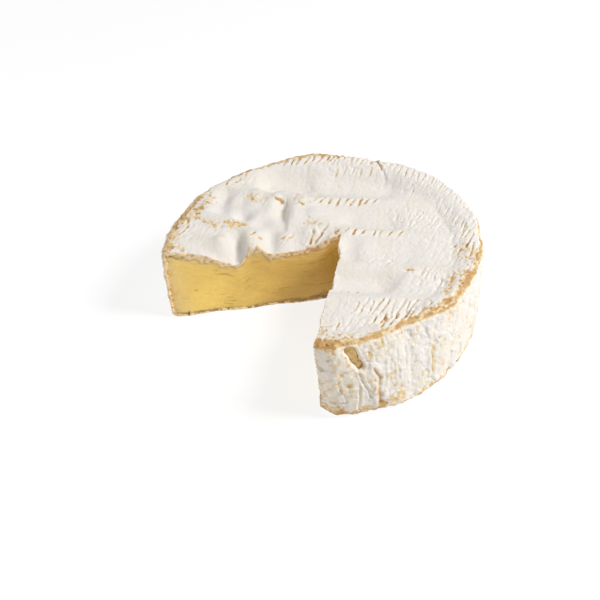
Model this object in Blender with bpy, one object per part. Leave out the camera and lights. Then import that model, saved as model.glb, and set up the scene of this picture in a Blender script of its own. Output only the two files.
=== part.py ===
"""A small soft-ripened cheese, a camembert, with one wedge cut out of it.

The body starts as a turned solid: a filled half cross-section with rounded edges, spun through the angle that
is left of the round. Its points are then moved by the functions below, which give the cheese its uneven
outline, the leaning cut faces, the bars and dents of its top and the ripples of its wall.
Lengths are in millimetres, measured from the middle of the round on the table, until the mesh is written in
metres. Angles are in degrees, from +X towards +Y.
"""

import math

import bmesh
import bpy
import numpy as np

MM = 0.001

# The round.
RADIUS = 53.0
HEIGHT = 31.6
TOP_EDGE_RADIUS = 2.3
BASE_EDGE_RADIUS = 1.9

# The missing wedge: its point leans, so the left cut face overhangs a little.
APEX_TOP = (6.4, 6.0)
APEX_BASE = (7.6, 8.3)
KEPT_FROM_TOP, KEPT_FROM_BASE = -95.5, -93.8
KEPT_TO_TOP, KEPT_TO_BASE = 181.0, 178.6

# The cut faces wave a little. What moves them fades over this distance behind them.
CUT_WAVE = 0.3
CUT_FADE = 3.0

# The right cut is hollow beside the point of the wedge and steps out where the knife was set a second time.
HOLLOW_DEPTH = 0.9
HOLLOW_START, HOLLOW_END, HOLLOW_STEP = 5.0, 27.5, 1.5

# Steps of the mesh round the cheese, from the point of the wedge to the wall, and from base to top.
STEPS_ROUND = 124
STEPS_OUT = 28
STEPS_UP = 12

# Where the middle of the finished solid's box lies.
BOX_MIDDLE = (-0.33, 0.79)

# Swellings (+) and flats (-) of the outline: angle, half-width in degrees, amount. The second list fades in
# towards the base and the third towards the top.
OUTLINE_SWELLINGS = (
    (181.0, 14.0, 0.9),
    (-35.0, 20.0, -0.3),
    (40.0, 20.0, 2.0),
    (92.0, 14.0, 2.3),
    (135.0, 9.0, 0.6),
    (12.0, 9.0, 0.9),
)
BASE_SWELLINGS = (
    (-60.0, 16.0, 0.6),
    (-95.0, 3.5, -3.0),
    (-25.0, 20.0, -0.7),
)
TOP_SWELLINGS = (
    (-62.0, 13.0, -2.7),
    (-89.0, 4.0, 1.4),
    (-44.0, 6.0, 0.8),
)

# The mat that the cheese drained on left bars across its top, all sloping the same way.
BAR_SLOPE = -0.2
BAR_OFFSETS = (47.0, 28.5, 9.5, -9.5, -26.5)
BAR_WIDTH = 4.2
BAR_RISE = 1.3

# The top sinks towards its middle, with a raised band round its edge.
MIDDLE_SAG = 1.2
EDGE_BAND_PLACE = 0.92
EDGE_BAND_WIDTH = 0.075
EDGE_BAND_RISE = 0.9

# Dents (-) and folds (+) of the top, each along a short line: x and y of both ends, half-width, amount.
TOP_DENTS = (
    (-13.5, 40.5, -8.0, 38.5, 7.4, -2.5),
    (6.0, 37.0, 22.0, 34.5, 6.8, -2.1),
    (12.0, 15.5, 22.0, 13.5, 5.2, -1.5),
    (6.0, -18.0, 20.0, -19.5, 6.4, -2.3),
    (20.0, -3.0, 27.0, -5.0, 5.0, -0.8),
    (9.5, 2.0, 9.0, -6.0, 2.8, -0.8),
    (2.0, 6.0, 7.5, 8.0, 5.0, 0.7),
)
DENT_POWER = 2.6

# Ledges where the top drops beside a crest: x and y of both ends, with the low side on the left. Then the depth,
# how far the steep part reaches and how far the top takes to rise again.
LEDGES = (
    (-18.0, 33.6, -4.0, 35.2, 1.5, 1.4, 7.0),
    (-11.4, 13.5, -11.2, 25.0, 1.6, 1.1, 5.0),
    (-38.0, 19.5, -26.8, 16.0, 0.9, 1.2, 4.0),
    (-26.0, 3.0, -27.0, 11.5, 0.6, 1.6, 4.0),
    (20.0, -25.0, 25.8, -16.8, 0.9, 1.3, 7.0),
)
LEDGE_FADE = 3.0  # how far past its ends a ledge fades

# Places of the folded part on the left: x, y and the height of the top there.
FOLD_PLACES = (
    (-51.0, 12.7, 31.0), (-51.3, 4.9, 30.8), (-48.5, 19.2, 31.3), (-45.7, 26.1, 31.5), (-41.6, 30.6, 31.6),
    (-47.0, 14.9, 30.9), (-44.4, 20.3, 31.2), (-41.1, 25.8, 31.4), (-38.2, 33.1, 31.4), (-35.4, 37.5, 31.3),
    (-37.6, 24.3, 30.6), (-36.4, 27.1, 29.4), (-36.4, 31.1, 30.5), (-37.1, 19.5, 30.5), (-35.9, 22.8, 29.4),
    (-35.0, 27.5, 28.2), (-34.9, 22.2, 28.5), (-34.4, 31.4, 28.9), (-33.3, 33.5, 29.8), (-32.1, 26.1, 29.0),
    (-32.1, 22.4, 29.0), (-31.6, 29.7, 29.5), (-29.3, 25.8, 29.1), (-29.3, 22.5, 28.6), (-26.5, 25.2, 29.3),
    (-26.5, 22.6, 28.6), (-22.9, 24.5, 29.6), (-23.0, 21.7, 29.0), (-19.8, 23.0, 29.6), (-19.4, 26.1, 30.0),
    (-17.7, 21.0, 29.2), (-14.9, 23.6, 28.5), (-12.9, 26.6, 28.5), (-12.6, 23.7, 27.9), (-12.7, 20.5, 27.6),
    (-13.1, 17.6, 27.5), (-15.0, 17.7, 28.0), (-17.8, 17.2, 28.5), (-10.3, 23.3, 30.6), (-10.3, 18.7, 30.4),
    (-10.5, 15.2, 29.9), (-7.1, 24.0, 30.8), (-7.2, 18.5, 30.4), (-3.7, 19.1, 30.6), (-8.7, 27.7, 30.9),
    (-5.2, 28.0, 30.9), (-7.4, 14.2, 29.2), (-3.9, 15.3, 29.9), (-0.4, 16.9, 30.3), (-10.2, 12.6, 28.4),
    (-7.5, 11.2, 28.0), (-4.0, 12.0, 28.9), (-0.6, 11.6, 29.0), (3.0, 14.0, 29.6), (-12.7, 12.0, 27.7),
    (-15.1, 12.6, 27.4), (-17.9, 13.6, 27.7), (-18.6, 10.4, 26.6), (-18.4, 7.3, 25.5), (-16.3, 8.6, 26.1),
    (-16.7, 6.1, 25.0), (-14.5, 8.5, 26.9), (-14.3, 6.0, 25.8), (-11.1, 8.2, 27.0), (-11.2, 6.0, 25.6),
    (-7.6, 8.8, 27.2), (-7.1, 7.0, 25.5), (-4.2, 8.0, 27.6), (-0.7, 10.1, 28.4), (-0.8, 7.7, 27.2),
    (2.7, 9.5, 28.6), (4.3, 6.8, 28.8), (-25.0, 17.6, 28.6), (-23.3, 18.7, 29.1), (-21.2, 19.8, 29.4),
    (-21.3, 16.7, 28.2), (-19.6, 13.8, 27.6), (-23.3, 15.2, 28.5), (-27.0, 20.3, 26.6), (-26.2, 21.0, 27.6),
    (-28.3, 21.1, 27.5), (-27.6, 22.1, 28.1), (-26.3, 14.5, 29.1), (-28.1, 15.7, 29.6), (-30.2, 16.2, 29.9),
    (-32.9, 16.3, 30.2), (-35.7, 16.5, 30.4), (-38.5, 16.6, 30.5), (-41.2, 17.3, 30.6), (-44.0, 16.6, 30.8),
    (-31.7, 20.0, 28.8), (-34.4, 19.5, 29.4), (-30.0, 20.1, 28.2), (-33.3, 13.9, 29.6), (-36.4, 13.8, 29.8),
    (-40.1, 13.4, 29.9), (-30.2, 13.3, 29.0), (-44.2, 12.3, 30.1), (-47.9, 11.9, 30.6), (-45.2, 9.7, 29.5),
    (-41.8, 9.8, 29.2), (-38.4, 10.0, 28.9), (-35.0, 10.1, 28.6), (-31.6, 10.8, 27.9), (-45.0, 6.8, 29.7),
    (-42.3, 6.4, 29.5), (-39.9, 5.6, 29.2), (-36.6, 4.0, 28.5), (-34.3, 3.4, 27.4), (-28.5, 12.4, 28.3),
    (-28.2, 9.6, 26.9), (-28.3, 6.9, 25.5), (-28.9, 4.8, 23.7), (-31.6, 5.8, 26.5), (-31.7, 3.8, 24.6),
    (-26.6, 12.3, 29.1), (-26.3, 8.6, 28.8), (-25.9, 5.2, 28.3), (-25.7, 3.4, 27.7), (-23.7, 11.0, 29.0),
    (-23.0, 6.9, 28.6), (-23.4, 4.4, 27.9), (-20.6, 10.7, 28.2), (-20.5, 6.6, 27.8), (-21.0, 4.2, 27.1),
    (-24.6, 32.9, 30.8), (-28.2, 34.5, 30.8), (-21.1, 31.5, 30.7), (-16.5, 29.7, 30.8), (-13.0, 28.8, 30.8),
    (-29.6, 29.8, 30.2), (-24.7, 28.1, 30.2), (-21.1, 28.2, 30.4), (-15.8, 26.5, 30.4), (-50.8, -0.4, 29.6),
    (-48.2, -0.1, 28.9), (-45.9, 0.2, 28.3), (-43.0, 0.6, 27.6), (-40.0, 1.0, 26.8), (-37.4, 1.4, 25.7),
    (-35.3, 1.7, 24.6), (-32.6, 2.2, 23.2), (-29.6, 2.6, 21.9), (-28.0, 2.7, 22.5), (-26.7, 2.7, 24.2),
    (-25.4, 2.8, 25.8), (-23.4, 2.9, 27.3), (-20.9, 3.2, 27.4), (-19.3, 3.6, 25.0), (-17.5, 3.8, 24.5),
    (-15.1, 4.0, 24.6), (-12.5, 4.4, 24.6), (-8.8, 4.8, 24.5), (-6.1, 5.1, 25.0), (-3.1, 5.4, 25.5),
    (0.0, 5.6, 27.0), (3.1, 5.9, 28.7), (5.6, 6.1, 29.3),
)
# Places around it where the top stays plain: x and y.
PLAIN_PLACES = (
    (-5.2, 49.2), (-12.0, 48.0), (-18.5, 45.9), (-24.7, 42.9), (-30.5, 39.0), (-35.6, 34.4), (-40.0, 29.1),
    (8.0, 12.0), (6.0, 18.0), (4.0, 24.0), (0.0, 28.0), (-4.0, 30.0), (8.0, 4.0), (-6.0, 34.0),
    (-12.0, 38.0), (-18.0, 40.0), (-24.0, 41.0), (-28.0, 37.0), (-20.0, 45.0), (-33.0, 35.0),
)
FOLD_REACH = 4.5  # how far the height at one place reaches
FOLD_GIVE = 0.02  # how far the surface may pass beside the heights, for smoothness

# Ripples down the wall, and the gouge near the front corner: two ends as angle and height, half-width, depth.
RIPPLES = ((23.0, 0.8, 0.16), (41.0, 1.7, 0.15), (58.0, 2.6, 0.12))
WALL_BULGE = 0.5
GOUGE_START, GOUGE_END = (-85.4, 29.0), (-80.4, 21.5)
GOUGE_WIDTH, GOUGE_DEPTH = 2.0, 1.1

# The front corner beside the cut curls up a little off the table.
CORNER_ANGLE, CORNER_SPREAD, CORNER_LIFT = -97.0, 5.0, 3.2


def swelling(angle, swellings):
    """The sum of the smooth swellings at each angle."""
    total = np.zeros_like(angle)
    for middle, spread, amount in swellings:
        total += amount * np.exp(-(((angle - middle) / spread) ** 2))
    return total


def line_distance(x, y, start, end):
    """How far each point is from the line between two places."""
    run_x, run_y = end[0] - start[0], end[1] - start[1]
    share = ((x - start[0]) * run_x + (y - start[1]) * run_y) / (run_x**2 + run_y**2)
    share = np.clip(share, 0.0, 1.0)
    return np.hypot(x - start[0] - share * run_x, y - start[1] - share * run_y)


def outline_radius(angle, level):
    """The wall's distance from the middle. level is 0 at the base and 1 at the top."""
    radius = RADIUS + swelling(angle, OUTLINE_SWELLINGS)
    radius = radius + (1 - level) * swelling(angle, BASE_SWELLINGS)
    radius = radius + level * swelling(angle, TOP_SWELLINGS)
    radius = radius + WALL_BULGE * 4 * level * (1 - level) - 0.4 * (1 - level)
    turn = np.radians(angle)
    for waves, twist, depth in RIPPLES:
        radius = radius + depth * np.sin(waves * turn + twist * level + 0.7 * waves)
    across = np.radians(1.0) * RADIUS
    near = line_distance(
        angle * across,
        level * HEIGHT,
        (GOUGE_START[0] * across, GOUGE_START[1]),
        (GOUGE_END[0] * across, GOUGE_END[1]),
    )
    return radius - GOUGE_DEPTH * np.exp(-((near / GOUGE_WIDTH) ** 2))


def ledge_drop(x, y, start, end, depth, steep, rise):
    """How far the top drops on the left of the ledge from start to end."""
    length = math.dist(start, end)
    along_x, along_y = (end[0] - start[0]) / length, (end[1] - start[1]) / length
    off_x, off_y = x - start[0], y - start[1]
    along = off_x * along_x + off_y * along_y
    left = np.maximum(off_y * along_x - off_x * along_y, 0.0)
    beyond = np.maximum(np.maximum(-along, along - length), 0.0)
    drop = depth * (1 - np.exp(-((left / steep) ** 1.5))) * np.exp(-left / rise)
    return drop * np.exp(-((beyond / LEDGE_FADE) ** 2))


def plain_height(x, y):
    """The height of the top without the folds on the left."""
    out = np.hypot(x, y) / RADIUS
    height = HEIGHT - MIDDLE_SAG * (1 - out**2)
    height = height + EDGE_BAND_RISE * np.exp(-(((out - EDGE_BAND_PLACE) / EDGE_BAND_WIDTH) ** 2))
    fade = np.clip((1.02 - out) / 0.2, 0.0, 1.0)
    for offset in BAR_OFFSETS:
        across = y - offset - BAR_SLOPE * x
        height = height + fade * BAR_RISE * (np.exp(-((across / BAR_WIDTH) ** 2)) - 0.4)
    for x_start, y_start, x_end, y_end, width, amount in TOP_DENTS:
        near = line_distance(x, y, (x_start, y_start), (x_end, y_end))
        height = height + amount * np.exp(-((near / width) ** DENT_POWER))
    for x_start, y_start, x_end, y_end, depth, steep, rise in LEDGES:
        height = height - ledge_drop(x, y, (x_start, y_start), (x_end, y_end), depth, steep, rise)
    return height


def fold_strengths():
    """The places of the folds, and how much of a round bump at each makes the top pass through its height."""
    places = np.array([place[:2] for place in FOLD_PLACES] + list(PLAIN_PLACES))
    plain = plain_height(places[:, 0], places[:, 1])
    heights = np.append([place[2] for place in FOLD_PLACES], plain[len(FOLD_PLACES) :])
    apart = np.hypot(places[:, 0][:, None] - places[:, 0], places[:, 1][:, None] - places[:, 1])
    shares = np.exp(-((apart / FOLD_REACH) ** 2)) + FOLD_GIVE * np.eye(len(places))
    return places, np.linalg.solve(shares, heights - plain)


FOLDS = fold_strengths()


def top_height(x, y):
    """The height of the top at each place."""
    height = plain_height(x, y)
    for (fold_x, fold_y), strength in zip(*FOLDS):
        apart_squared = (x - fold_x) ** 2 + (y - fold_y) ** 2
        height = height + strength * np.exp(-apart_squared / FOLD_REACH**2)
    return height


def round_corner(out, up, corner_out, corner_up, radius):
    """Moves the points of a square corner onto a round one with its middle at corner_out, corner_up."""
    p = (out - corner_out) / radius
    q = (up - corner_up) / radius
    inside = (p > 0) & (np.sign(corner_up - HEIGHT / 2) * q > 0)
    new_out = corner_out + radius * p * np.sqrt(np.clip(1 - q**2 / 2, 0, 1))
    new_up = corner_up + radius * q * np.sqrt(np.clip(1 - p**2 / 2, 0, 1))
    return np.where(inside, new_out, out), np.where(inside, new_up, up)


def section_grid():
    """The half cross-section as a filled grid, closer together towards the wall: distance out and height."""
    share = np.linspace(0.0, 1.0, STEPS_OUT + 1)
    out = RADIUS * (share + 0.22 * share * (1 - share))
    up = HEIGHT * np.linspace(0.0, 1.0, STEPS_UP + 1)
    out, up = np.meshgrid(out, up, indexing="ij")
    out, up = round_corner(out, up, RADIUS - TOP_EDGE_RADIUS, HEIGHT - TOP_EDGE_RADIUS, TOP_EDGE_RADIUS)
    return round_corner(out, up, RADIUS - BASE_EDGE_RADIUS, BASE_EDGE_RADIUS, BASE_EDGE_RADIUS)


def turned_round():
    """The plain round as a closed mesh: the cross-section spun from one cut to the other."""
    bm = bmesh.new()
    bmesh.ops.create_grid(bm, x_segments=STEPS_OUT, y_segments=STEPS_UP, size=0.5)
    out, up = section_grid()
    first = math.radians(KEPT_FROM_TOP)
    for vert in bm.verts:
        column = round((vert.co.x + 0.5) * STEPS_OUT)
        row = round((vert.co.y + 0.5) * STEPS_UP)
        reach = out[column, row]
        vert.co = (reach * math.cos(first), reach * math.sin(first), up[column, row])
    bmesh.ops.spin(
        bm,
        geom=bm.verts[:] + bm.edges[:] + bm.faces[:],
        cent=(0, 0, 0),
        axis=(0, 0, 1),
        angle=math.radians(KEPT_TO_TOP - KEPT_FROM_TOP),
        steps=STEPS_ROUND,
    )
    bmesh.ops.remove_doubles(bm, verts=bm.verts[:], dist=0.001)
    bmesh.ops.recalc_face_normals(bm, faces=bm.faces[:])
    return bm


def cut_push(share, from_point, z):
    """How far the points at and behind the two cut faces move into the cheese."""
    kept_arc = math.radians(KEPT_TO_TOP - KEPT_FROM_TOP) * from_point
    first_cut = np.exp(-((share * kept_arc / CUT_FADE) ** 2))
    last_cut = np.exp(-(((1 - share) * kept_arc / CUT_FADE) ** 2))
    wave = CUT_WAVE * np.sin(0.31 * from_point + 0.13 * z) * np.clip(from_point / 6.0, 0.0, 1.0)
    hollow = np.clip((from_point - HOLLOW_START) / 4.0, 0.0, 1.0)
    hollow = hollow * np.clip((HOLLOW_END - from_point) / HOLLOW_STEP, 0.0, 1.0)
    return first_cut * (wave + HOLLOW_DEPTH * hollow) - last_cut * wave


def shaped(points):
    """Moves the points of the plain round to those of the cheese."""
    x, y, z = points.T
    level = np.clip(z / HEIGHT, 0.0, 1.0)
    reach = np.hypot(x, y)
    turn = np.degrees(np.arctan2(y, x))
    turn = np.where(turn < KEPT_FROM_TOP - 1.0, turn + 360.0, turn)
    share = (turn - KEPT_FROM_TOP) / (KEPT_TO_TOP - KEPT_FROM_TOP)
    first = KEPT_FROM_BASE + level * (KEPT_FROM_TOP - KEPT_FROM_BASE)
    last = KEPT_TO_BASE + level * (KEPT_TO_TOP - KEPT_TO_BASE)
    angle = first + share * (last - first)
    apex_x = APEX_BASE[0] + level * (APEX_TOP[0] - APEX_BASE[0])
    apex_y = APEX_BASE[1] + level * (APEX_TOP[1] - APEX_BASE[1])
    wall = outline_radius(angle, level)
    out = reach / RADIUS
    new_x = apex_x + out * (wall * np.cos(np.radians(angle)) - apex_x)
    new_y = apex_y + out * (wall * np.sin(np.radians(angle)) - apex_y)
    push = cut_push(share, np.hypot(new_x - apex_x, new_y - apex_y), z)
    new_x = new_x - push * np.sin(np.radians(angle))
    new_y = new_y + push * np.cos(np.radians(angle))
    new_z = z * top_height(new_x, new_y) / HEIGHT
    corner = np.exp(-(((angle - CORNER_ANGLE) / CORNER_SPREAD) ** 2)) * np.clip((out - 0.86) / 0.14, 0, 1)
    new_z = new_z + CORNER_LIFT * corner * (1 - level) ** 1.5
    return np.stack([new_x - BOX_MIDDLE[0], new_y - BOX_MIDDLE[1], new_z], axis=1)


def rind_material():
    """The white, faintly velvety rind."""
    material = bpy.data.materials.new("rind")
    material.use_nodes = True
    shader = material.node_tree.nodes["Principled BSDF"]
    shader.inputs["Base Color"].default_value = (0.86, 0.82, 0.76, 1.0)
    shader.inputs["Roughness"].default_value = 0.85
    shader.inputs["Metallic"].default_value = 0.0
    return material


def make_camembert(collection):
    bm = turned_round()
    points = shaped(np.array([vert.co for vert in bm.verts], dtype=float))
    for vert, point in zip(bm.verts, points):
        vert.co = point * MM
    mesh = bpy.data.meshes.new("camembert")
    bm.to_mesh(mesh)
    bm.free()
    mesh.shade_smooth()
    mesh.set_sharp_from_angle(angle=math.radians(50))
    mesh.materials.append(rind_material())
    collection.objects.link(bpy.data.objects.new("camembert", mesh))


def main():
    for old in list(bpy.data.objects):
        bpy.data.objects.remove(old, do_unlink=True)
    collection = bpy.data.collections.new("camembert_parts")
    bpy.context.scene.collection.children.link(collection)
    make_camembert(collection)


main()
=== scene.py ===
"""The finish of a camembert with one wedge cut out: its worn white rind and the soft paste inside.

Four closed pieces stand for the cheese: the rind of its top, of its wall and of its base, and the paste
that shows at the two cut faces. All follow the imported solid's form and add the relief that the solid is too
coarse for: strokes of the draining mat, flakes, creases, bare patches, ragged cut edges. Lengths are in
millimetres, measured from the middle of the round on the table, until a mesh is written in metres. Angles
are in degrees, from +X towards +Y.
"""

import itertools
import math

import bpy
import numpy as np
from mathutils import Matrix, Vector


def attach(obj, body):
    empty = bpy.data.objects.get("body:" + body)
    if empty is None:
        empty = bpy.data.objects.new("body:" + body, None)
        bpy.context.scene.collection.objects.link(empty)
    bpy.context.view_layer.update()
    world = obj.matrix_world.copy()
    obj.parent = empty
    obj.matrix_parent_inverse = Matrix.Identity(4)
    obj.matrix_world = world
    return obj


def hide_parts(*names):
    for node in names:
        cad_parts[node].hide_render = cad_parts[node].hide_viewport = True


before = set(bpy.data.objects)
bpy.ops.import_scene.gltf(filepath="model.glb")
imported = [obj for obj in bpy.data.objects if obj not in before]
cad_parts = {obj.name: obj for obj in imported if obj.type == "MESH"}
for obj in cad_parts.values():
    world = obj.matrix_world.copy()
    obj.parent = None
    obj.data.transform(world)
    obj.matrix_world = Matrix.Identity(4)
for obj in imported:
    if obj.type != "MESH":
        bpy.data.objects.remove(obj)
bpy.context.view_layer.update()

MM = 0.001

# ---- the form

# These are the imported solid's values, but for the depth of the ripples, the end of the dent at the right
# front, the ledge beside it and the lift of the corner.

RADIUS = 53.0
HEIGHT = 31.6
TOP_EDGE_RADIUS = 2.3
BASE_EDGE_RADIUS = 1.9

APEX_TOP = (6.4, 6.0)
APEX_BASE = (7.6, 8.3)
KEPT_FROM_TOP, KEPT_FROM_BASE = -95.5, -93.8
KEPT_TO_TOP, KEPT_TO_BASE = 181.0, 178.6
KEPT_SPAN = math.radians(KEPT_TO_TOP - KEPT_FROM_TOP)
CUT_WAVE, CUT_WAVE_START = 0.3, 6.0  # how deep the wave is, and how far out it has its full depth
CUT_WAVE_OUT, CUT_WAVE_UP = 0.31, 0.13  # how fast the wave goes on outwards and upwards
CUT_FADE = 3.0
HOLLOW_DEPTH = 0.9
HOLLOW_START, HOLLOW_RISE, HOLLOW_END, HOLLOW_STEP = 5.0, 4.0, 27.5, 1.5
BOX_MIDDLE = (-0.33, 0.79)

OUTLINE_SWELLINGS = (
    (181, 14, 0.9), (-35, 20, -0.3), (40, 20, 2), (92, 14, 2.3), (135, 9, 0.6), (12, 9, 0.9),
)
BASE_SWELLINGS = (
    (-60, 16, 0.6), (-95, 3.5, -3), (-25, 20, -0.7),
)
TOP_SWELLINGS = (
    (-62, 13, -2.7), (-89, 4, 1.4), (-44, 6, 0.8),
)
BAR_SLOPE = -0.2
BAR_OFFSETS = (47.0, 28.5, 9.5, -9.5, -26.5)
BAR_WIDTH = 4.2
BAR_RISE = 1.3
BAR_LEVEL = 0.4  # the share of a bar's rise by which the whole top goes down
BAR_END, BAR_END_FADE = 1.02, 0.2  # where the bars end near the rim, in shares of the radius
MIDDLE_SAG = 1.2
EDGE_BAND_PLACE = 0.92
EDGE_BAND_WIDTH = 0.075
EDGE_BAND_RISE = 0.9
TOP_DENTS = (
    (-13.5, 40.5, -8, 38.5, 7.4, -2.5), (6, 37, 22, 34.5, 6.8, -2.1), (12, 15.5, 22, 13.5, 5.2, -1.5),
    (6, -18, 15.6, -19, 6.6, -2.5), (20, -3, 27, -5, 5, -0.8), (9.5, 2, 9, -6, 2.8, -0.8),
    (2, 6, 7.5, 8, 5, 0.7),
)
DENT_POWER = 2.6

# Ledges where the top drops beside a crest: x and y of both ends, with the low side on the left. Then the
# depth, how far the steep part reaches and how far the top takes to rise again.
LEDGES = (
    (-18, 33.6, -4, 35.2, 1.5, 1.4, 7), (-11.4, 13.5, -11.2, 25, 1.6, 1.1, 5),
    (-38, 19.5, -26.8, 16, 0.9, 1.2, 4), (-26, 3, -27, 11.5, 0.6, 1.6, 4),
    (22, -23.4, 28, -15.9, 0.9, 1.8, 7),
)
LEDGE_FADE = 3.0  # how far past its ends a ledge fades

# Places of the folded part on the left: x, y and the height of the top there.
FOLD_PLACES = (
    (-51, 12.7, 31), (-51.3, 4.9, 30.8), (-48.5, 19.2, 31.3), (-45.7, 26.1, 31.5), (-41.6, 30.6, 31.6),
    (-47, 14.9, 30.9), (-44.4, 20.3, 31.2), (-41.1, 25.8, 31.4), (-38.2, 33.1, 31.4), (-35.4, 37.5, 31.3),
    (-37.6, 24.3, 30.6), (-36.4, 27.1, 29.4), (-36.4, 31.1, 30.5), (-37.1, 19.5, 30.5),
    (-35.9, 22.8, 29.4), (-35, 27.5, 28.2), (-34.9, 22.2, 28.5), (-34.4, 31.4, 28.9), (-33.3, 33.5, 29.8),
    (-32.1, 26.1, 29), (-32.1, 22.4, 29), (-31.6, 29.7, 29.5), (-29.3, 25.8, 29.1), (-29.3, 22.5, 28.6),
    (-26.5, 25.2, 29.3), (-26.5, 22.6, 28.6), (-22.9, 24.5, 29.6), (-23, 21.7, 29), (-19.8, 23, 29.6),
    (-19.4, 26.1, 30), (-17.7, 21, 29.2), (-14.9, 23.6, 28.5), (-12.9, 26.6, 28.5), (-12.6, 23.7, 27.9),
    (-12.7, 20.5, 27.6), (-13.1, 17.6, 27.5), (-15, 17.7, 28), (-17.8, 17.2, 28.5), (-10.3, 23.3, 30.6),
    (-10.3, 18.7, 30.4), (-10.5, 15.2, 29.9), (-7.1, 24, 30.8), (-7.2, 18.5, 30.4), (-3.7, 19.1, 30.6),
    (-8.7, 27.7, 30.9), (-5.2, 28, 30.9), (-7.4, 14.2, 29.2), (-3.9, 15.3, 29.9), (-0.4, 16.9, 30.3),
    (-10.2, 12.6, 28.4), (-7.5, 11.2, 28), (-4, 12, 28.9), (-0.6, 11.6, 29), (3, 14, 29.6),
    (-12.7, 12, 27.7), (-15.1, 12.6, 27.4), (-17.9, 13.6, 27.7), (-18.6, 10.4, 26.6), (-18.4, 7.3, 25.5),
    (-16.3, 8.6, 26.1), (-16.7, 6.1, 25), (-14.5, 8.5, 26.9), (-14.3, 6, 25.8), (-11.1, 8.2, 27),
    (-11.2, 6, 25.6), (-7.6, 8.8, 27.2), (-7.1, 7, 25.5), (-4.2, 8, 27.6), (-0.7, 10.1, 28.4),
    (-0.8, 7.7, 27.2), (2.7, 9.5, 28.6), (4.3, 6.8, 28.8), (-25, 17.6, 28.6), (-23.3, 18.7, 29.1),
    (-21.2, 19.8, 29.4), (-21.3, 16.7, 28.2), (-19.6, 13.8, 27.6), (-23.3, 15.2, 28.5), (-27, 20.3, 26.6),
    (-26.2, 21, 27.6), (-28.3, 21.1, 27.5), (-27.6, 22.1, 28.1), (-26.3, 14.5, 29.1), (-28.1, 15.7, 29.6),
    (-30.2, 16.2, 29.9), (-32.9, 16.3, 30.2), (-35.7, 16.5, 30.4), (-38.5, 16.6, 30.5),
    (-41.2, 17.3, 30.6), (-44, 16.6, 30.8), (-31.7, 20, 28.8), (-34.4, 19.5, 29.4), (-30, 20.1, 28.2),
    (-33.3, 13.9, 29.6), (-36.4, 13.8, 29.8), (-40.1, 13.4, 29.9), (-30.2, 13.3, 29), (-44.2, 12.3, 30.1),
    (-47.9, 11.9, 30.6), (-45.2, 9.7, 29.5), (-41.8, 9.8, 29.2), (-38.4, 10, 28.9), (-35, 10.1, 28.6),
    (-31.6, 10.8, 27.9), (-45, 6.8, 29.7), (-42.3, 6.4, 29.5), (-39.9, 5.6, 29.2), (-36.6, 4, 28.5),
    (-34.3, 3.4, 27.4), (-28.5, 12.4, 28.3), (-28.2, 9.6, 26.9), (-28.3, 6.9, 25.5), (-28.9, 4.8, 23.7),
    (-31.6, 5.8, 26.5), (-31.7, 3.8, 24.6), (-26.6, 12.3, 29.1), (-26.3, 8.6, 28.8), (-25.9, 5.2, 28.3),
    (-25.7, 3.4, 27.7), (-23.7, 11, 29), (-23, 6.9, 28.6), (-23.4, 4.4, 27.9), (-20.6, 10.7, 28.2),
    (-20.5, 6.6, 27.8), (-21, 4.2, 27.1), (-24.6, 32.9, 30.8), (-28.2, 34.5, 30.8), (-21.1, 31.5, 30.7),
    (-16.5, 29.7, 30.8), (-13, 28.8, 30.8), (-29.6, 29.8, 30.2), (-24.7, 28.1, 30.2), (-21.1, 28.2, 30.4),
    (-15.8, 26.5, 30.4), (-50.8, -0.4, 29.6), (-48.2, -0.1, 28.9), (-45.9, 0.2, 28.3), (-43, 0.6, 27.6),
    (-40, 1, 26.8), (-37.4, 1.4, 25.7), (-35.3, 1.7, 24.6), (-32.6, 2.2, 23.2), (-29.6, 2.6, 21.9),
    (-28, 2.7, 22.5), (-26.7, 2.7, 24.2), (-25.4, 2.8, 25.8), (-23.4, 2.9, 27.3), (-20.9, 3.2, 27.4),
    (-19.3, 3.6, 25), (-17.5, 3.8, 24.5), (-15.1, 4, 24.6), (-12.5, 4.4, 24.6), (-8.8, 4.8, 24.5),
    (-6.1, 5.1, 25), (-3.1, 5.4, 25.5), (0, 5.6, 27), (3.1, 5.9, 28.7), (5.6, 6.1, 29.3),
)
# Places around it where the top stays plain: x and y.
PLAIN_PLACES = (
    (-5.2, 49.2), (-12, 48), (-18.5, 45.9), (-24.7, 42.9), (-30.5, 39), (-35.6, 34.4), (-40, 29.1),
    (8, 12), (6, 18), (4, 24), (0, 28), (-4, 30), (8, 4), (-6, 34), (-12, 38), (-18, 40), (-24, 41),
    (-28, 37), (-20, 45), (-33, 35),
)
FOLD_REACH = 4.5  # how far the height at one place reaches
FOLD_GIVE = 0.02  # how far the surface may pass beside the heights, for smoothness
RIPPLES = ((23.0, 0.8, 0.12), (41.0, 1.7, 0.09), (58.0, 2.6, 0.06))  # how many, twist and depth
RIPPLE_PHASE = 0.7
WALL_BULGE = 0.5
BASE_DRAW_IN = 0.4
GOUGE_START, GOUGE_END = (-85.4, 29.0), (-80.4, 21.5)
GOUGE_WIDTH, GOUGE_DEPTH = 2.0, 1.1
BARE_START, BARE_END = (-83.9, 28.0), (-80.4, 20.6)  # the bare part inside the gouge
CORNER_ANGLE, CORNER_SPREAD, CORNER_LIFT = -97.0, 5.0, 1.9
CORNER_START = 0.86  # where the lifted corner starts, in shares of the radius

ROUND_MM = math.radians(1.0) * RADIUS  # how far one degree reaches along the wall


def bell(value):
    """1 where the value is 0, falling off smoothly on both sides."""
    return np.exp(-(value**2))


def unit(value):
    """The value, kept from 0 to 1."""
    return np.clip(value, 0.0, 1.0)


def swelling(angle, swellings):
    """The sum of the smooth swellings at each angle."""
    total = np.zeros_like(angle)
    for middle, spread, amount in swellings:
        total += amount * bell((angle - middle) / spread)
    return total


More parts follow.
